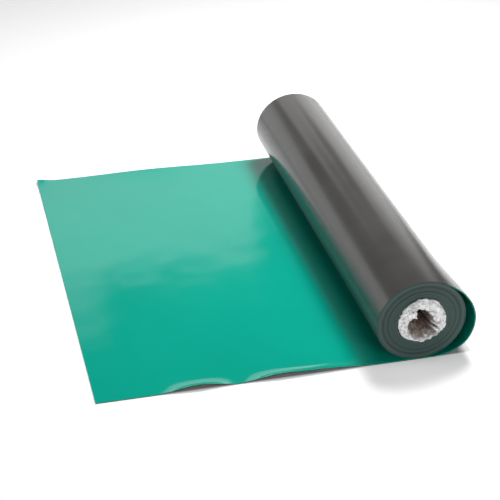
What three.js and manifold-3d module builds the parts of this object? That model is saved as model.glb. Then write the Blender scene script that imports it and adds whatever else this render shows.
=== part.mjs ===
import * as THREE from 'three';
import { mergeVertices } from 'three/addons/utils/BufferGeometryUtils.js';
import Module from 'manifold-3d';

// A length of anti-static rubber matting, partly unrolled: the green face lies up, the near-black
// face is outside on the roll. X runs from the cut edge to the roll, Y along the roll, Z up.
// Sizes are in millimetres and angles in degrees.

// The stock
const matWidth = 900;
const sheetThickness = 2;
const unrolledLength = 613;

// The roll at its near end, where it has sagged into a slight oval under its own weight. Its turns
// lie tighter towards the far end, so it narrows there.
const rollHalfWidth = 87.5;
const rollHalfHeight = 82.7;
const farEndShare = 0.966;
const boreHalfWidth = 47;
const turnPitch = 2.05;
const turnGroove = 0.8;
const layerGap = 0.4;

// The slack outer turn: it stands off the roll on the side away from the cut edge, most of all at
// the near end, where its slack also reaches higher round the roll
const slackGapNear = 22.5;
const slackGapFar = 8;
const slackWidestAt = -27;
const slackEndsNear = 62;
const slackEndsFar = 20;
const slackReach = 260;
const tuckStartsAt = 92;
const tuckEndsAt = 140;
const tuckDepth = 0.7;

// The crumpled film that lines the bore, round a ragged cavity. angle goes round the bore from its
// right side, and reach is how far from its middle the cavity's edge is.
const filmGap = 0.8;
const filmStandOut = 3;
const cavityEdge = [
  { angle: -143, reach: 31 },
  { angle: -118, reach: 36 },
  { angle: -71, reach: 35 },
  { angle: -38, reach: 37 },
  { angle: -16, reach: 21 },
  { angle: 25, reach: 22 },
  { angle: 60, reach: 24 },
  { angle: 88, reach: 26 },
  { angle: 111, reach: 31 },
  { angle: 145, reach: 15 },
  { angle: 177, reach: 28 },
];

// How finely curves are divided
const rollSides = 36;
const slackSteps = 40;
const slackRows = 10;
const flatSteps = 24;
const flatRows = 14;
const filmSides = 44;

// Waves along the two long cut edges, which curl up from the flat. along is a share of the unrolled
// length, from the cut edge; halfLength runs along the edge and reach runs in from it.
const nearEdge = -1;
const farEdge = 1;
const edgeWaves = [
  { edge: nearEdge, along: 0.31, halfLength: 82, height: 10, reach: 120 },
  { edge: nearEdge, along: 0.545, halfLength: 80, height: 7, reach: 110 },
  { edge: nearEdge, along: 0.67, halfLength: 135, height: 8, reach: 120 },
  { edge: farEdge, along: 0, halfLength: 45, height: 4.5, reach: 70 },
  { edge: farEdge, along: 0.42, halfLength: 190, height: 3, reach: 80 },
];

// Sizes that follow
const halfWidth = matWidth / 2;
const sag = rollHalfHeight / rollHalfWidth;
const footHeight = sheetThickness + layerGap;
const toRadians = THREE.MathUtils.degToRad;

const wasm = await Module();
wasm.setup();

// A closed three.js geometry as a solid that can be joined to others
function solidOf(geometry) {
  geometry.deleteAttribute('normal');
  geometry.deleteAttribute('uv');
  const merged = mergeVertices(geometry, 1e-3);
  return new wasm.Manifold(new wasm.Mesh({
    numProp: 3,
    vertProperties: merged.attributes.position.array,
    triVerts: new Uint32Array(merged.index.array),
  }));
}

// A joined solid back as a three.js geometry
function geometryOf(solid) {
  const mesh = solid.getMesh();
  const geometry = new THREE.BufferGeometry();
  geometry.setAttribute('position', new THREE.BufferAttribute(mesh.vertProperties, 3));
  geometry.setIndex(new THREE.BufferAttribute(mesh.triVerts, 1));
  geometry.computeVertexNormals();
  return geometry;
}

// A section drawn in the XZ plane, drawn out along Y and centred on it
function drawnAlongRoll(shape, length) {
  const geometry = new THREE.ExtrudeGeometry(shape, { depth: length, steps: 1, bevelEnabled: false });
  geometry.rotateX(Math.PI / 2);
  geometry.translate(0, length / 2, 0);
  return geometry;
}

// One at 0, falling smoothly to nothing at 1
function fade(share) {
  return Math.abs(share) < 1 ? 0.5 + 0.5 * Math.cos(Math.PI * share) : 0;
}

// One at 0, falling ever more slowly to nothing at 1
function curl(share) {
  return Math.max(1 - share, 0) ** 2;
}

// The roll's size at a place along it, as a share of its size at the near end
function narrowing(y) {
  return THREE.MathUtils.lerp(1, farEndShare, (y + halfWidth) / matWidth);
}

// Narrows a body that is as thick as the near end all along, keeping it on the roll's foot
function narrowed(body) {
  const place = body.attributes.position;
  for (let i = 0; i < place.count; i++) {
    const share = narrowing(place.getY(i));
    place.setX(i, place.getX(i) * share);
    place.setZ(i, footHeight + (place.getZ(i) - footHeight) * share);
  }
  return body;
}

// A slab's rows crowd towards the two cut edges that run along X
function crowdedRow(y) {
  return halfWidth * Math.sin((Math.PI / 2) * (y / halfWidth));
}

// How far the sheet's edges have lifted at a place on the flat stretch
function waveLift(x, y) {
  let lift = 0;
  for (const wave of edgeWaves) {
    const waveX = unrolledLength * (wave.along - 1);
    const fromEdge = halfWidth - wave.edge * y;
    lift += wave.height * fade((x - waveX) / wave.halfLength) * curl(fromEdge / wave.reach);
  }
  return lift;
}

// The flat stretch, with the waves along its edges
function flatStretch() {
  const slab = new THREE.BoxGeometry(1, matWidth, sheetThickness, flatSteps, flatRows, 1);
  const place = slab.attributes.position;
  for (let i = 0; i < place.count; i++) {
    const x = unrolledLength * (place.getX(i) - 0.5);
    const y = crowdedRow(place.getY(i));
    place.setXYZ(i, x, y, sheetThickness / 2 + place.getZ(i) + waveLift(x, y));
  }
  return slab;
}

// The air between the roll and the slack turn, by the angle round the roll from its right side
function slackAir(angle, y) {
  const nearShare = fade((y + halfWidth) / slackReach);
  const gap = THREE.MathUtils.lerp(slackGapFar, slackGapNear, nearShare);
  const endsAt = THREE.MathUtils.lerp(slackEndsFar, slackEndsNear, nearShare);
  const span = angle < slackWidestAt ? slackWidestAt + 90 : endsAt - slackWidestAt;
  const tuckShare = THREE.MathUtils.smoothstep(angle, tuckStartsAt, tuckEndsAt);
  const rise = gap * fade((angle - slackWidestAt) / span);
  return layerGap + rise - tuckShare * (layerGap + sheetThickness + tuckDepth);
}

// The middle of the slack turn's thickness at an angle round the roll
function slackMiddle(angle, y) {
  const turn = toRadians(angle);
  const halfAcross = rollHalfWidth * narrowing(y);
  const halfUp = rollHalfHeight * narrowing(y);
  const surface = new THREE.Vector2(halfAcross * Math.cos(turn), halfUp * Math.sin(turn));
  const outward = new THREE.Vector2(surface.x / halfAcross ** 2, surface.y / halfUp ** 2);
  outward.normalize();
  surface.addScaledVector(outward, slackAir(angle, y) + sheetThickness / 2);
  surface.y = Math.max(surface.y + footHeight + halfUp, sheetThickness / 2);
  return surface;
}

// The slack turn: a slab bent round the roll, off the floor past the roll's foot and bedded into
// the roll past its top
function slackTurn() {
  const slab = new THREE.BoxGeometry(1, matWidth, sheetThickness, slackSteps, slackRows, 1);
  const place = slab.attributes.position;
  for (let i = 0; i < place.count; i++) {
    const y = crowdedRow(place.getY(i));
    const angle = THREE.MathUtils.lerp(-90, tuckEndsAt, place.getX(i) + 0.5);
    const middle = slackMiddle(angle, y);
    const ahead = slackMiddle(angle + 0.5, y).sub(slackMiddle(angle - 0.5, y)).normalize();
    const side = place.getZ(i);
    const x = middle.x - ahead.y * side;
    const z = Math.max(middle.y + ahead.x * side, 0);
    if (place.getX(i) === -0.5) {
      place.setXYZ(i, 0, y, sheetThickness / 2 + side);
    } else {
      place.setXYZ(i, x, y, z);
    }
  }
  return slab;
}

// The tight turns, as one turned body with its bore; a groove parts the turns on both ends
function tightRoll() {
  const turns = Math.max(1, Math.round((rollHalfWidth - boreHalfWidth) / turnPitch));
  const pitch = (rollHalfWidth - boreHalfWidth) / turns;
  const nearFace = [new THREE.Vector2(boreHalfWidth, turnGroove - halfWidth)];
  for (let turn = 0; turn < turns; turn++) {
    const start = boreHalfWidth + turn * pitch;
    nearFace.push(new THREE.Vector2(start + pitch / 2, -halfWidth));
    nearFace.push(new THREE.Vector2(start + pitch, turnGroove - halfWidth));
  }
  const farFace = nearFace.map((point) => new THREE.Vector2(point.x, -point.y)).reverse();
  const roll = new THREE.LatheGeometry([...nearFace, ...farFace, nearFace[0]], rollSides);
  roll.scale(1, 1, sag);
  roll.translate(0, 0, footHeight + rollHalfHeight);
  return narrowed(roll);
}

// The film lining: it fills the bore but for the cavity
function filmLining() {
  const hollow = new THREE.CatmullRomCurve3(cavityEdge.map(({ angle, reach }) => {
    const turn = toRadians(angle);
    return new THREE.Vector3(reach * Math.cos(turn), reach * Math.sin(turn) * sag, 0);
  }), true);
  const edge = [];
  for (let side = 0; side < filmSides; side++) {
    const turn = (2 * Math.PI * side) / filmSides;
    const round = new THREE.Vector2(Math.cos(turn), Math.sin(turn) * sag);
    edge.push(round.multiplyScalar(boreHalfWidth - filmGap));
  }
  const section = new THREE.Shape(edge);
  const cavity = hollow.getPoints(filmSides).slice(1).map((point) => new THREE.Vector2(point.x, point.y));
  section.holes.push(new THREE.Path(cavity));
  const lining = drawnAlongRoll(section, matWidth + 2 * filmStandOut);
  lining.translate(0, 0, footHeight + rollHalfHeight);
  return narrowed(lining);
}

const rubber = new THREE.MeshStandardMaterial({ color: 0x3b3e3d, roughness: 0.42, metalness: 0 });
const film = new THREE.MeshStandardMaterial({ color: 0xe6e8ea, roughness: 0.3, metalness: 0 });

const joined = solidOf(tightRoll()).add(solidOf(slackTurn())).add(solidOf(flatStretch()));
const matSheet = new THREE.Mesh(geometryOf(joined), rubber);
matSheet.name = 'mat_sheet';

const coreFilm = new THREE.Mesh(filmLining(), film);
coreFilm.name = 'core_film';

// The origin is on the floor under the middle of the whole object
matSheet.geometry.computeBoundingBox();
const middleX = matSheet.geometry.boundingBox.getCenter(new THREE.Vector3()).x;
const group = new THREE.Group();
group.add(matSheet, coreFilm);
for (const mesh of group.children) {
  mesh.position.x = -middleX;
}

export default group;
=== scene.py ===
import math

import bmesh
import bpy
from mathutils import Matrix, Vector, noise


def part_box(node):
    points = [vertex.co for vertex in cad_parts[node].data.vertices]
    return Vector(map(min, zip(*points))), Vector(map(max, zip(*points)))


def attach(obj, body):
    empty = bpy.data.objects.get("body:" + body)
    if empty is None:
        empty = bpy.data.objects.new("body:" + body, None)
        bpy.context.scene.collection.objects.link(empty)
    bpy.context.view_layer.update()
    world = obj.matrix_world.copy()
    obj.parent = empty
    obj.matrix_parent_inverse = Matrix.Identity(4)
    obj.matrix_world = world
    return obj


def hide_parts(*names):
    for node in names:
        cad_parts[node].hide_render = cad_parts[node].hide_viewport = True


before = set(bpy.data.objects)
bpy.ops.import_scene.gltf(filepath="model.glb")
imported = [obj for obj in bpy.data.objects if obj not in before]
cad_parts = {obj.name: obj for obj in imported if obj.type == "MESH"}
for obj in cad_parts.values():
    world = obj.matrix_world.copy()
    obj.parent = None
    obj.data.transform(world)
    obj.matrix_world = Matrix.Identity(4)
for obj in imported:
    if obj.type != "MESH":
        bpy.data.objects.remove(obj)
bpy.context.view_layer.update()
sheetLow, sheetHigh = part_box("mat_sheet")
filmLow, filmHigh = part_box("core_film")
print("frame loaded:", sorted(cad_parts))

# The mat: one sheet, wound with its green face inwards
mat = {
    "width": sheetHigh.y - sheetLow.y,
    "thickness": 0.002,
    "unrolled": 0.613,
    "rollHalfWidth": 0.0875,
    "rollHalfHeight": 0.0827,
    "farEndShare": 0.966,  # the roll's far end as a share of its near end
    "layerGap": 0.0004,
    "turnPitch": 0.00205,
    "tightTurns": 18.7,
    "slackGapNear": 0.0225,
    "slackGapFar": 0.008,
    "slackWidestAt": -27,
    "slackEndsNear": 62,
    "slackEndsFar": 20,
    "slackReach": 0.26,  # how far along the roll its wide end reaches
    "footAngle": -90,  # where the sheet leaves the floor, round the roll from its right side
    "telescope": 0.0004,  # how far single turns stand out of line at the roll's ends
    "telescopeStep": 0.93,  # how soon one turn's place differs from the next
    "flatColumns": 61,
    "outerColumns": 90,
    "columnsPerTurn": 60,
    "rows": 34,
}
halfWidth = mat["width"] / 2
axisX = sheetLow.x + mat["unrolled"]
footHeight = mat["thickness"] + mat["layerGap"]
outerTurnEnds = mat["footAngle"] + 360

# Waves along the long cut edges: along is a share of the unrolled length from the cut edge
nearEdge = -1
farEdge = 1
edgeWaves = [
    {"edge": nearEdge, "along": 0.31, "halfLength": 0.082, "height": 0.0095, "reach": 0.028},
    {"edge": nearEdge, "along": 0.545, "halfLength": 0.080, "height": 0.006, "reach": 0.028},
    {"edge": nearEdge, "along": 0.67, "halfLength": 0.135, "height": 0.0075, "reach": 0.028},
    {"edge": farEdge, "along": 0.0, "halfLength": 0.045, "height": 0.0045, "reach": 0.070},
    {"edge": farEdge, "along": 0.42, "halfLength": 0.190, "height": 0.003, "reach": 0.080},
]


def blendShare(low, high, share):
    return low + (high - low) * share


def fade(share):  # one at 0, falling smoothly to nothing at 1
    return 0.5 + 0.5 * math.cos(math.pi * share) if abs(share) < 1 else 0.0


def curl(share):  # one at 0, falling ever more slowly to nothing at 1
    return max(1 - share, 0.0) ** 2


def narrowing(y):  # the roll's size along it, as a share of its near end's
    return blendShare(1.0, mat["farEndShare"], (y + halfWidth) / mat["width"])


def waveLift(along, y):  # along runs from the roll's foot, negative towards the cut edge
    lift = 0.0
    for wave in edgeWaves:
        crest = mat["unrolled"] * (wave["along"] - 1)
        fromEdge = halfWidth - wave["edge"] * y
        lift += wave["height"] * fade((along - crest) / wave["halfLength"]) * curl(fromEdge / wave["reach"])
    return lift


def slackRise(angle, y):
    nearShare = fade((y + halfWidth) / mat["slackReach"])
    gap = blendShare(mat["slackGapFar"], mat["slackGapNear"], nearShare)
    endsAt = blendShare(mat["slackEndsFar"], mat["slackEndsNear"], nearShare)
    widest = mat["slackWidestAt"]
    span = widest - mat["footAngle"] if angle < widest else endsAt - widest
    return gap * fade((angle - widest) / span)


def greenOffset(angle, y):  # from the roll's outline to the green face, by the angle wound from the right
    if angle <= outerTurnEnds:
        settled = (angle - mat["footAngle"]) / 360
        return mat["layerGap"] - settled * (mat["layerGap"] + mat["thickness"]) + slackRise(angle, y)
    return -mat["thickness"] - mat["turnPitch"] * (angle - outerTurnEnds) / 360


def woundPoint(angle, y):
    turn = math.radians(angle)
    halfAcross = mat["rollHalfWidth"] * narrowing(y)
    halfUp = mat["rollHalfHeight"] * narrowing(y)
    outline = Vector((halfAcross * math.cos(turn), halfUp * math.sin(turn)))
    outward = Vector((outline.x / halfAcross ** 2, outline.y / halfUp ** 2))
    outward.normalize()
    place = outline + outward * greenOffset(angle, y)
    turns = max(0.0, (angle - outerTurnEnds) / 360)
    sample = Vector((turns * mat["telescopeStep"], 3.1, 0.4))
    shift = mat["telescope"] * noise.noise(sample) * min(1.0, turns) * 2
    return Vector((axisX + place.x, y + shift, max(footHeight + halfUp + place.y, mat["thickness"])))


def matStations():  # every column of the mesh: a distance on the flat, or an angle on the roll
    stations = []
    for column in range(mat["flatColumns"]):
        stations.append(("flat", mat["unrolled"] * (column / mat["flatColumns"] - 1)))
    for column in range(mat["outerColumns"]):
        stations.append(("wound", mat["footAngle"] + 360 * column / mat["outerColumns"]))
    tightColumns = round(mat["tightTurns"] * mat["columnsPerTurn"])
    for column in range(tightColumns + 1):
        stations.append(("wound", outerTurnEnds + 360 * column / mat["columnsPerTurn"]))
    return stations


def matPoint(station, y):
    kind, where = station
    if kind == "flat":
        return Vector((axisX + where, y, mat["thickness"] + waveLift(where, y)))
    return woundPoint(where, y)


def finishObject(name, bm, materials):
    mesh = bpy.data.meshes.new(name)
    bm.to_mesh(mesh)
    bm.free()
    for material in materials:
        mesh.materials.append(material)
    piece = bpy.data.objects.new(name, mesh)
    bpy.context.scene.collection.objects.link(piece)
    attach(piece, "root")
    return piece


def buildMat(materials):
    stations = matStations()
    columns = len(stations) - 1
    bm = bmesh.new()
    bmesh.ops.create_grid(bm, x_segments=columns, y_segments=mat["rows"], size=1.0)
    greenSide = bm.verts.layers.float.new("greenSide")
    looseEdgePaintedLight = bm.verts.layers.float.new("looseEdgePaintedLight")
    for vert in bm.verts:
        station = stations[round((vert.co.x + 1) / 2 * columns)]
        y = halfWidth * math.sin(math.pi / 2 * vert.co.y)  # rows crowd towards the cut edges
        vert.co = matPoint(station, y)
        vert[greenSide] = 1.0
        # marks the loose edges, whose cut faces get painted light and shade
        vert[looseEdgePaintedLight] = 1.0 if station[0] == "flat" or station[1] < mat["slackEndsNear"] else 0.0
    bm.normal_update()
    greenWay = {tuple(vert.co): vert.normal.copy() for vert in bm.verts}
    made = bmesh.ops.extrude_face_region(bm, geom=bm.faces[:] + bm.edges[:] + bm.verts[:])
    under = [item for item in made["geom"] if isinstance(item, bmesh.types.BMVert)]
    for vert in under:
        vert[greenSide] = 0.0
        vert.co = vert.co - greenWay[tuple(vert.co)] * mat["thickness"]
        vert.co.z = max(vert.co.z, 0.0)
    bmesh.ops.recalc_face_normals(bm, faces=bm.faces)
    for face in bm.faces:
        green = sum(vert[greenSide] for vert in face.verts) / len(face.verts)
        face.material_index = 0 if green > 0.99 else 1 if green < 0.01 else 2
        face.smooth = face.material_index != 2
    for edge in bm.edges:
        kinds = {face.material_index for face in edge.link_faces}
        edge.smooth = len(kinds) == 1
    print("mat sheet:", len(bm.verts), "vertices,", len(greenWay), "on the green face")
    piece = finishObject("rubber_mat", bm, materials)
    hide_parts("mat_sheet")
    return piece


# The film: crumpled round a ragged cavity
film = {
    "boreHalfWidth": 0.0467,
    "boreHalfHeight": 0.0441,
    "standOut": 0.004,
    "sides": 300,
    "depthSteps": 60,
    "rimSteps": 26,
    "crumple": 0.0034,  # how far the crushed rim stands up and down
    "creaseSize": 0.0075,
    "creaseWays": 5,
    "creaseWider": 0.35,  # how much wider and lower each further set of creases is
    "creaseLower": 0.4,
    "creaseBend": 1.6,
    "creaseBendSize": 2.6,
    "creaseScale": 1.6,
    "creaseMiddle": 0.95,
    "fineCreases": 1.9,  # the second, finer creases: how much closer they lie
    "fineShare": 0.5,  # and how far they stand against the first
    "insideShare": 0.35,  # how crushed the film is inside the bore, against its rim
    "overlap": 0.9,  # how nearly the outline at the mouth follows the edge below
    "widest": 0.0515,
    "sway": 0.0026,  # how far the folds wander deeper in the bore
    "swayDepth": 0.12,
    "swayRound": 2.2,  # how often they do so, round the bore and along it
    "swayAlong": 16,
    "pleatSway": 14.0,  # degrees that a pleat wanders round the bore
    "pleatSwayDepth": 0.05,
    "pleatSwayStep": 0.37,
    "pleatSwayAlong": 9.0,
    "ragged": 0.0012,  # how far the crushed rim's outline may stray outwards
    "rollBack": 0.0045,  # how far inside that outline its creases turn over towards the cavity
    "heldFrom": 0.9,  # beyond this share across, the film lies smooth against the bore
    "lift": 1.3,  # how far creases lift out of the end, against how far they stand round the rim
    "edgeLift": 0.1,  # and the share of that left at the outline
    "proud": 0.0018,  # the most that they may stand out
    "mouthDepth": 0.012,
    "funnel": 0.38,  # how much the cavity closes up behind its mouth
    "funnelDepth": 0.075,
    "cavity": [  # angle round the bore from the right, and how far the cavity reaches
        (-143, 0.031), (-118, 0.037), (-71, 0.037), (-38, 0.040), (-16, 0.026), (25, 0.022),
        (60, 0.023), (88, 0.0255), (111, 0.030), (126, 0.020), (145, 0.0135), (160, 0.023), (177, 0.028),
    ],
    "edge": [  # angle, and how far the crumpled rim reaches over the end of the roll
        (-135, 0.0458), (-87, 0.0415), (-60, 0.0425), (-35, 0.0458), (-14, 0.0488), (21, 0.0462),
        (69, 0.0472), (97, 0.0500), (122, 0.0476), (172, 0.0474),
    ],
    "pleats": [  # folds along the bore: angle, height, half width in degrees, and share left at the mouth
        (-36, 0.021, 6, 0.9), (-14, 0.009, 6, 0.8), (-58, 0.0035, 7, 0.4), (-77, 0.0045, 8, 0.4),
        (-95, 0.003, 6, 0.4), (-108, 0.0045, 7, 0.4), (-131, 0.004, 8, 0.4), (8, 0.004, 8, 0.4),
        (47, 0.004, 9, 0.4), (75, 0.003, 7, 0.4), (158, 0.004, 8, 0.4),
    ],
}


def roundTheBore(points, angle):  # a closed curve through the chosen points
    angles = [point[0] for point in points]
    turned = (angle - angles[0]) % 360 + angles[0]
    for i, (start, startReach) in enumerate(points):
        end, endReach = points[(i + 1) % len(points)]
        if end <= start:
            end += 360
        if start <= turned <= end:
            return blendShare(endReach, startReach, fade((turned - start) / (end - start)))
    return points[0][1]


def crushed(place, size):  # flat facets that meet in sharp creases
    height = 0.0
    for i in range(film["creaseWays"]):
        way = Vector((math.sin(2.4 * i + 1.0), math.cos(1.7 * i), math.sin(3.1 * i + 0.5))).normalized()
        bend = noise.noise(place / (size * film["creaseBendSize"]) + Vector((5.0 * i, 0, 0)))
        phase = place.dot(way) / (size * (1.0 + film["creaseWider"] * i)) + film["creaseBend"] * bend
        height += abs((phase % 2.0) - 1.0) / (1.0 + film["creaseLower"] * i)
    return height / film["creaseScale"] - film["creaseMiddle"]


def pleatDepth(angle, depth, mouth):
    stand = 0.0
    for middle, height, halfSpan, mouthShare in film["pleats"]:
        sample = Vector((middle * film["pleatSwayStep"], depth * film["pleatSwayAlong"], 2.0))
        wander = film["pleatSway"] * noise.noise(sample) * min(1.0, depth / film["pleatSwayDepth"])
        away = abs((angle - middle - wander + 180) % 360 - 180) / halfSpan
        stand += height * max(0.0, 1.0 - away) * blendShare(1.0, mouthShare, mouth)
    return stand


def filmReach(turn, depth, across):  # from the bore's middle, for a share across the film
    degrees = math.degrees(turn)
    mouth = fade(max(depth, 0.0) / film["mouthDepth"])
    bore = Vector((film["boreHalfWidth"] * math.cos(turn), film["boreHalfHeight"] * math.sin(turn))).length
    outer = blendShare(bore, roundTheBore(film["edge"], degrees), film["overlap"] * mouth)
    inner = roundTheBore(film["cavity"], degrees) - pleatDepth(degrees, max(depth, 0.0), mouth)
    inner *= 1.0 - film["funnel"] * (1.0 - fade(max(depth, 0.0) / film["funnelDepth"]))
    deep = min(1.0, max(depth, 0.0) / film["swayDepth"])
    swayRound = film["swayRound"]
    sample = Vector((swayRound * math.cos(turn), swayRound * math.sin(turn), depth * film["swayAlong"]))
    inner += film["sway"] * deep * noise.noise(sample)
    return blendShare(inner, min(outer, film["widest"]), across)


def buildFilm(materials):
    bm = bmesh.new()
    rimDepth = bm.verts.layers.float.new("rimDepth")
    half = (filmHigh.y - filmLow.y) / 2
    # a closed profile, with 1 at the bore and 0 at the cavity
    profile = []
    for step in range(film["depthSteps"] + 1):
        profile.append((1.0, half * math.sin(math.pi / 2 * (1 - 2 * step / film["depthSteps"]))))
    for step in range(1, film["rimSteps"]):
        share = step / film["rimSteps"]
        profile.append((1.0 - share, -half - film["standOut"] * math.sin(math.pi * share)))
    for step in range(film["depthSteps"] + 1):
        profile.append((0.0, -half * math.sin(math.pi / 2 * (1 - 2 * step / film["depthSteps"]))))
    for step in range(1, film["rimSteps"]):
        share = step / film["rimSteps"]
        profile.append((share, half + film["standOut"] * math.sin(math.pi * share)))
    verts = [bm.verts.new((1.0 + across, y, 0.0)) for across, y in profile]
    edges = [bm.edges.new((verts[i - 1], verts[i])) for i in range(len(verts))]
    bmesh.ops.spin(bm, geom=verts + edges, cent=(0, 0, 0), axis=(0, 1, 0), angle=math.tau,
                   steps=film["sides"], use_merge=True)
    for vert in bm.verts:
        across = math.hypot(vert.co.x, vert.co.z) - 1.0
        turn = math.atan2(vert.co.z, vert.co.x)
        y = vert.co.y
        depth = half - abs(y)  # how deep inside the bore, from either end
        reach = filmReach(turn, depth, across)
        sample = Vector((reach * math.cos(turn), y, reach * math.sin(turn)))
        crush = crushed(sample, film["creaseSize"])
        crush += film["fineShare"] * crushed(sample * film["fineCreases"], film["creaseSize"])
        crush *= film["crumple"]
        mouth = fade(max(depth, 0.0) / film["mouthDepth"])
        loose = 1.0 if across < film["heldFrom"] else mouth
        reach += crush * loose * blendShare(film["insideShare"], 1.0, mouth)
        outline = filmReach(turn, depth, 1.0) - film["rollBack"] * (1.0 - across)
        reach = min(reach, outline + film["ragged"] * across)
        crown = math.sin(math.pi * min(1.0, max(0.0, across)))
        stand = film["lift"] * crush * mouth * blendShare(film["edgeLift"], 1.0, crown)
        stand = min(stand, film["proud"])
        y += -stand if y < 0 else stand
        share = narrowing(y)
        vert.co = Vector((
            axisX + reach * math.cos(turn) * share, y,
            footHeight + (mat["rollHalfHeight"] + reach * math.sin(turn)) * share,
        ))
        # how deep the film lies, which sets its painted shade
        vert[rimDepth] = max(0.0, depth) * (1.0 - across)
    bmesh.ops.recalc_face_normals(bm, faces=bm.faces)
    for face in bm.faces:
        face.smooth = False
    print("core film:", len(bm.verts), "vertices")
    piece = finishObject("crumpled_film", bm, materials)
    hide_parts("core_film")
    return piece


def startMaterial(name):
    material = bpy.data.materials.new(name)
    material.use_nodes = True
    nodes = material.node_tree.nodes
    links = material.node_tree.links
    shader = nodes["Principled BSDF"]
    place = nodes.new("ShaderNodeTexCoord")
    return material, nodes, links, shader, place


def addNoise(nodes, links, place, scale, detail, roughness=0.55):
    texture = nodes.new("ShaderNodeTexNoise")
    texture.inputs["Scale"].default_value = scale
    texture.inputs["Detail"].default_value = detail
    texture.inputs["Roughness"].default_value = roughness
    links.new(place, texture.inputs["Vector"])
    return texture


def addRamp(nodes, links, value, stops):
    ramp = nodes.new("ShaderNodeValToRGB")
    elements = ramp.color_ramp.elements
    while len(elements) < len(stops):
        elements.new(0.5)
    for element, (position, colour) in zip(elements, stops):
        element.position = position
        element.color = (*colour, 1.0)
    links.new(value, ramp.inputs["Fac"])
    return ramp


def addMix(nodes, links, share, first, second, blend="MIX"):
    mix = nodes.new("ShaderNodeMix")
    mix.data_type = "RGBA"
    mix.blend_type = blend
    for name, value in (("Factor", share), ("A", first), ("B", second)):
        socket = mix.inputs[name]
        if isinstance(value, bpy.types.NodeSocket):
            links.new(value, socket)
        elif socket.type == "RGBA":
            socket.default_value = (*value, 1.0)
        else:
            socket.default_value = value
    return mix


def addRange(nodes, links, value, low, high, toLow, toHigh):
    scale = nodes.new("ShaderNodeMapRange")
    scale.inputs["From Min"].default_value = low
    scale.inputs["From Max"].default_value = high
    scale.inputs["To Min"].default_value = toLow
    scale.inputs["To Max"].default_value = toHigh
    links.new(value, scale.inputs["Value"])
    return scale.outputs["Result"]


def addBump(nodes, links, height, strength, distance, normal=None):
    bump = nodes.new("ShaderNodeBump")
    bump.inputs["Strength"].default_value = strength
    bump.inputs["Distance"].default_value = distance
    links.new(height, bump.inputs["Height"])
    if normal is not None:
        links.new(normal, bump.inputs["Normal"])
    return bump.outputs["Normal"]


greenFinish = {
    "tints": [(0.3, (0.0, 0.362, 0.264)), (0.7, (0.0, 0.392, 0.286))],
    "roughness": (0.07, 0.10),
    "patches": 3.0,
    "undulation": 9.0,  # broad, low hollows that bend the gleam
    "hollowDepth": 0.0018,
    "hollowStrength": 0.5,
    "grain": 1400.0,
    "grainStrength": 0.05,
}
grainDepth = 0.0004


def greenRubber():
    material, nodes, links, shader, place = startMaterial("green rubber face")
    spot = place.outputs["Object"]
    broad = addNoise(nodes, links, spot, greenFinish["patches"], 3)
    undulation = addNoise(nodes, links, spot, greenFinish["undulation"], 1)
    fine = addNoise(nodes, links, spot, greenFinish["grain"], 2)
    tint = addRamp(nodes, links, broad.outputs["Fac"], greenFinish["tints"])
    links.new(tint.outputs["Color"], shader.inputs["Base Color"])
    shine = addRange(nodes, links, broad.outputs["Fac"], 0.3, 0.7, *greenFinish["roughness"])
    links.new(shine, shader.inputs["Roughness"])
    hollows = undulation.outputs["Fac"]
    low = addBump(nodes, links, hollows, greenFinish["hollowStrength"], greenFinish["hollowDepth"])
    skin = addBump(nodes, links, fine.outputs["Fac"], greenFinish["grainStrength"], grainDepth, low)
    links.new(skin, shader.inputs["Normal"])
    return material


darkFinish = {
    "tints": [(0.3, (0.058, 0.056, 0.053)), (0.7, (0.076, 0.074, 0.071))],
    "roughness": (0.17, 0.23),
    "patches": 6.0,
    "grain": 1100.0,
    "grainStrength": 0.08,
}


def darkRubber():
    material, nodes, links, shader, place = startMaterial("dark rubber underside")
    spot = place.outputs["Object"]
    broad = addNoise(nodes, links, spot, darkFinish["patches"], 4)
    fine = addNoise(nodes, links, spot, darkFinish["grain"], 2)
    tint = addRamp(nodes, links, broad.outputs["Fac"], darkFinish["tints"])
    links.new(tint.outputs["Color"], shader.inputs["Base Color"])
    shine = addRange(nodes, links, broad.outputs["Fac"], 0.3, 0.7, *darkFinish["roughness"])
    links.new(shine, shader.inputs["Roughness"])
    skin = addBump(nodes, links, fine.outputs["Fac"], darkFinish["grainStrength"], grainDepth)
    links.new(skin, shader.inputs["Normal"])
    return material


# Cut edges show both layers, from the dark side at 0 to the green side at 1
cutFinish = {
    "wound": [
        (0.0, (0.016, 0.018, 0.018)), (0.12, (0.034, 0.050, 0.048)), (0.72, (0.034, 0.050, 0.048)),
        (0.80, (0.012, 0.130, 0.095)), (1.0, (0.010, 0.100, 0.074)),
    ],
    # painted light and shade: the loose edges' green layer is painted brighter, as if lit, and their
    # near-black lower part is widened as painted shade under the lifted edge
    "loose": [
        (0.0, (0.016, 0.010, 0.011)), (0.56, (0.016, 0.012, 0.012)), (0.64, (0.0, 0.400, 0.230)),
        (1.0, (0.0, 0.440, 0.260)),
    ],
    "rings": [(0.32, (0.60, 0.60, 0.60)), (0.66, (1.26, 1.26, 1.26))],
    "ringsPerMetre": 190.0,
    "bands": [  # from half way out, at 0, to the outer turn, at 1
        (0.0, (1.0, 1.0, 1.0)), (0.45, (0.98, 0.98, 0.98)), (0.72, (0.78, 0.78, 0.78)),
        (0.90, (1.15, 1.15, 1.15)),
    ],
    "roughness": 0.6,
    "grain": 900.0,
    "grainStrength": 0.25,
}


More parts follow.
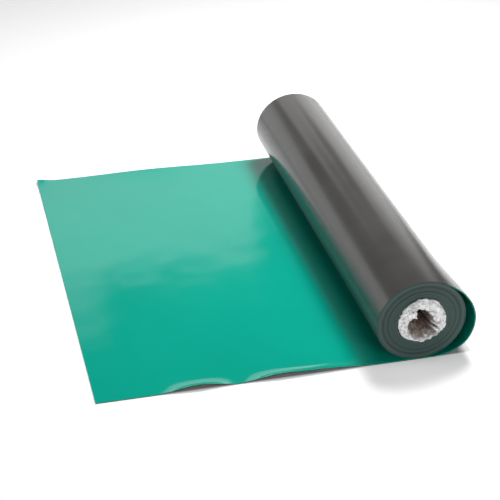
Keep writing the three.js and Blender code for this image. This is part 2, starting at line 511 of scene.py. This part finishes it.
def cutRubber():
    material, nodes, links, shader, place = startMaterial("cut edge of the sheet")
    layer = nodes.new("ShaderNodeAttribute")
    layer.attribute_name = "greenSide"
    loose = nodes.new("ShaderNodeAttribute")
    loose.attribute_name = "looseEdgePaintedLight"
    fine = addNoise(nodes, links, place.outputs["Object"], cutFinish["grain"], 2)
    wound = addRamp(nodes, links, layer.outputs["Fac"], cutFinish["wound"])
    free = addRamp(nodes, links, layer.outputs["Fac"], cutFinish["loose"])
    # the loose edges take the painted light and shade, the wound ones the plain layers
    layers = addMix(nodes, links, loose.outputs["Fac"], wound.outputs["Color"], free.outputs["Color"])
    # the end face goes lighter and darker in rings by radius, standing for the turns
    middle = nodes.new("ShaderNodeMapping")
    axisZ = footHeight + mat["rollHalfHeight"]
    squash = mat["rollHalfWidth"] / mat["rollHalfHeight"]
    middle.inputs["Location"].default_value = (-axisX, 0.0, -axisZ * squash)
    middle.inputs["Scale"].default_value = (1.0, 0.0, squash)
    links.new(place.outputs["Object"], middle.inputs["Vector"])
    radius = nodes.new("ShaderNodeVectorMath")
    radius.operation = "LENGTH"
    links.new(middle.outputs["Vector"], radius.inputs[0])
    rings = nodes.new("ShaderNodeTexNoise")
    rings.noise_dimensions = "1D"
    rings.inputs["Scale"].default_value = cutFinish["ringsPerMetre"]
    rings.inputs["Detail"].default_value = 3
    links.new(radius.outputs["Value"], rings.inputs["W"])
    ringTone = addRamp(nodes, links, rings.outputs["Fac"], cutFinish["rings"])
    outerEdge = mat["rollHalfWidth"]
    reach = addRange(nodes, links, radius.outputs["Value"], outerEdge * 0.5, outerEdge, 0.0, 1.0)
    bandTone = addRamp(nodes, links, reach, cutFinish["bands"])
    toned = addMix(nodes, links, 1.0, layers.outputs["Result"], ringTone.outputs["Color"], "MULTIPLY")
    banded = addMix(nodes, links, 1.0, toned.outputs["Result"], bandTone.outputs["Color"], "MULTIPLY")
    links.new(banded.outputs["Result"], shader.inputs["Base Color"])
    shader.inputs["Roughness"].default_value = cutFinish["roughness"]
    skin = addBump(nodes, links, fine.outputs["Fac"], cutFinish["grainStrength"], grainDepth)
    links.new(skin, shader.inputs["Normal"])
    return material


filmFinish = {
    "depth": 0.10,  # how deep in the bore the painted shade reaches its darkest tint
    # painted shade: the white film darkens and browns the deeper it lies in the bore
    "tints": [
        (0.0, (0.94, 0.93, 0.93)), (0.06, (0.86, 0.82, 0.79)), (0.20, (0.66, 0.57, 0.52)),
        (0.55, (0.42, 0.33, 0.28)), (1.0, (0.30, 0.23, 0.19)),
    ],
    # painted shade: grey patches stand for the crumples' shaded folds
    "shades": [(0.38, (0.60, 0.59, 0.60)), (0.48, (1.0, 1.0, 1.0))],
    "shadeScale": 90.0,
    "creaseScale": 95.0,
    "creaseDepth": 0.006,
    "grain": 420.0,
    "grainStrength": 0.4,
    "grainDepth": 0.001,
    "roughness": 0.22,
    "gloss": 0.6,
    "glossRoughness": 0.1,
}


def crushedFilm():
    material, nodes, links, shader, place = startMaterial("crushed clear film")
    spot = place.outputs["Object"]
    depth = nodes.new("ShaderNodeAttribute")
    depth.attribute_name = "rimDepth"
    fine = addNoise(nodes, links, spot, filmFinish["grain"], 4)
    cloud = addNoise(nodes, links, spot, filmFinish["shadeScale"], 3, 0.6)
    creases = nodes.new("ShaderNodeTexVoronoi")
    creases.feature = "DISTANCE_TO_EDGE"
    creases.inputs["Scale"].default_value = filmFinish["creaseScale"]
    links.new(spot, creases.inputs["Vector"])
    # painted shade by depth in the bore
    scaled = addRange(nodes, links, depth.outputs["Fac"], 0.0, filmFinish["depth"], 0.0, 1.0)
    tint = addRamp(nodes, links, scaled, filmFinish["tints"])
    # painted shade over the crumples
    shade = addRamp(nodes, links, cloud.outputs["Fac"], filmFinish["shades"])
    mixed = addMix(nodes, links, 1.0, tint.outputs["Color"], shade.outputs["Color"], "MULTIPLY")
    links.new(mixed.outputs["Result"], shader.inputs["Base Color"])
    shader.inputs["Roughness"].default_value = filmFinish["roughness"]
    shader.inputs["Coat Weight"].default_value = filmFinish["gloss"]
    shader.inputs["Coat Roughness"].default_value = filmFinish["glossRoughness"]
    sharp = addBump(nodes, links, creases.outputs["Distance"], 1.0, filmFinish["creaseDepth"])
    grain = fine.outputs["Fac"]
    skin = addBump(nodes, links, grain, filmFinish["grainStrength"], filmFinish["grainDepth"], sharp)
    links.new(skin, shader.inputs["Normal"])
    return material


floorFinish = {
    "tints": [(0.0, (0.86, 0.86, 0.86)), (1.0, (0.90, 0.90, 0.90))],
    "roughness": 0.85,
    "shine": 0.1,
    "patches": 2.0,
    # painted light: the floor glows, though it is no lamp, except under the mat
    "glow": 0.26,
    "paintedGlowEdge": 0.003,  # how soon the glow comes up past the mat's outline
    "halfSize": 9.0,
    "drop": 0.0002,  # how far the floor lies under the mat
}


def paleFloor():
    material, nodes, links, shader, place = startMaterial("pale floor")
    broad = addNoise(nodes, links, place.outputs["Object"], floorFinish["patches"], 2)
    tint = addRamp(nodes, links, broad.outputs["Fac"], floorFinish["tints"])
    links.new(tint.outputs["Color"], shader.inputs["Base Color"])
    shader.inputs["Roughness"].default_value = floorFinish["roughness"]
    shader.inputs["Specular IOR Level"].default_value = floorFinish["shine"]
    # a slight painted glow keeps the floor white; it is left off under the mat, which paints shade under
    # the mat's lifted edges
    split = nodes.new("ShaderNodeSeparateXYZ")
    links.new(place.outputs["Object"], split.inputs["Vector"])
    outside = []
    for axis, edge in (("X", sheetHigh.x), ("Y", halfWidth)):
        away = nodes.new("ShaderNodeMath")
        away.operation = "ABSOLUTE"
        links.new(split.outputs[axis], away.inputs[0])
        inner = edge - floorFinish["paintedGlowEdge"]
        outside.append(addRange(nodes, links, away.outputs["Value"], inner, edge, 0.0, 1.0))
    farther = nodes.new("ShaderNodeMath")
    farther.operation = "MAXIMUM"
    links.new(outside[0], farther.inputs[0])
    links.new(outside[1], farther.inputs[1])
    glow = addRange(nodes, links, farther.outputs["Value"], 0.0, 1.0, 0.0, floorFinish["glow"])
    shader.inputs["Emission Color"].default_value = (1.0, 1.0, 1.0, 1.0)
    links.new(glow, shader.inputs["Emission Strength"])
    return material


# The photograph's view, solved from the sheet's corners and the roll's end
view = {
    "place": (-0.8532, -2.4946, 1.4818),  # from the point on the floor under the roll's middle
    "headingRight": 14.35,
    "lookingDown": 29.66,
    "leaning": 0.45,
    "focalPixels": 1400.0,
    "imagePixels": 500.0,
    "sensorMillimetres": 36.0,
}


def buildCamera():
    camera = bpy.data.cameras.new("photo camera")
    camera.sensor_width = view["sensorMillimetres"]
    camera.lens = view["focalPixels"] / view["imagePixels"] * view["sensorMillimetres"]
    eye = bpy.data.objects.new("photo camera", camera)
    bpy.context.scene.collection.objects.link(eye)
    turn = Matrix.Rotation(math.radians(-view["headingRight"]), 4, "Z")
    turn @= Matrix.Rotation(math.radians(90 - view["lookingDown"]), 4, "X")
    turn @= Matrix.Rotation(math.radians(view["leaning"]), 4, "Z")
    eye.matrix_world = Matrix.Translation(Vector(view["place"]) + Vector((axisX, 0, 0))) @ turn
    bpy.context.scene.camera = eye


# Softboxes light the mat; cards are only seen in its gloss. Each is placed from the middle of the mat.
softboxes = [
    {
        "name": "key", "place": (0.80, 0.60, 1.9), "size": (0.7, 0.7), "watts": 47.0,
        "aim": (0.1, -0.1, 0.05),
    },
    {
        "name": "overhead", "place": (0.15, -0.5, 1.9), "size": (1.0, 1.0), "watts": 8.0,
        "aim": (0.0, -0.2, 0.0),
    },
    {
        "name": "left fill", "place": (-2.6, 0.5, 1.2), "size": (2.0, 1.5), "watts": 17.0,
        "aim": (0.1, 0.0, 0.1),
    },
]
frontBox = {  # the only softbox that shows in the gloss
    "name": "front fill", "place": (1.3, -3.0, 0.9), "size": (1.4, 1.0), "watts": 25.0,
    "aim": (0.25, -0.45, 0.1),
}
cards = [  # left and right ends, bottom and top of each card on the back wall, and how bright it is
    {"name": "window", "span": (-0.25, 0.842), "height": (0.35, 1.80), "glow": 1.0},
    {"name": "high window", "span": (-0.25, 0.10), "height": (1.80, 2.08), "glow": 0.6},
    {"name": "low wall", "span": (0.842, 2.55), "height": (0.0, 1.38), "glow": 1.35},
    {"name": "right wall", "span": (1.38, 2.40), "height": (1.38, 1.95), "glow": 0.8},
    {"name": "left wall", "span": (-3.0, -0.25), "height": (0.0, 1.15), "glow": 1.15},
]
cardsAt = 3.0
surroundings = 0.065


def addLight(name, size, watts, place, aim):
    light = bpy.data.lights.new(name, "AREA")
    light.shape = "RECTANGLE"
    light.size = size[0]
    light.size_y = size[1]
    light.energy = watts
    lamp = bpy.data.objects.new(name, light)
    bpy.context.scene.collection.objects.link(lamp)
    lamp.location = place
    lamp.rotation_euler = (Vector(aim) - Vector(place)).to_track_quat("-Z", "Y").to_euler()
    return lamp


def buildLights():
    addLight(**frontBox)
    for box in softboxes:
        addLight(**box).visible_glossy = False
    for card in cards:
        left, right = card["span"]
        low, high = card["height"]
        watts = math.pi * card["glow"] * (right - left) * (high - low)
        place = ((left + right) / 2, cardsAt, (low + high) / 2)
        lamp = addLight(card["name"], (right - left, high - low), watts, place, (place[0], 0.0, place[2]))
        lamp.visible_diffuse = False
    world = bpy.data.worlds.new("studio")
    world.use_nodes = True
    world.node_tree.nodes["Background"].inputs["Color"].default_value = (1.0, 1.0, 1.0, 1.0)
    world.node_tree.nodes["Background"].inputs["Strength"].default_value = surroundings
    bpy.context.scene.world = world


def buildFloor():
    bm = bmesh.new()
    bmesh.ops.create_grid(bm, x_segments=1, y_segments=1, size=floorFinish["halfSize"])
    bmesh.ops.translate(bm, vec=(0, 0, -floorFinish["drop"]), verts=bm.verts)
    mesh = bpy.data.meshes.new("floor")
    bm.to_mesh(mesh)
    bm.free()
    mesh.materials.append(paleFloor())
    floor = bpy.data.objects.new("floor", mesh)
    bpy.context.scene.collection.objects.link(floor)


buildCamera()
buildLights()
buildFloor()
print("stage ready")
buildMat([greenRubber(), darkRubber(), cutRubber()])
buildFilm([crushedFilm()])

scene = bpy.context.scene
scene.view_settings.view_transform = "Standard"
scene.view_settings.look = "None"

bpy.context.view_layer.update()
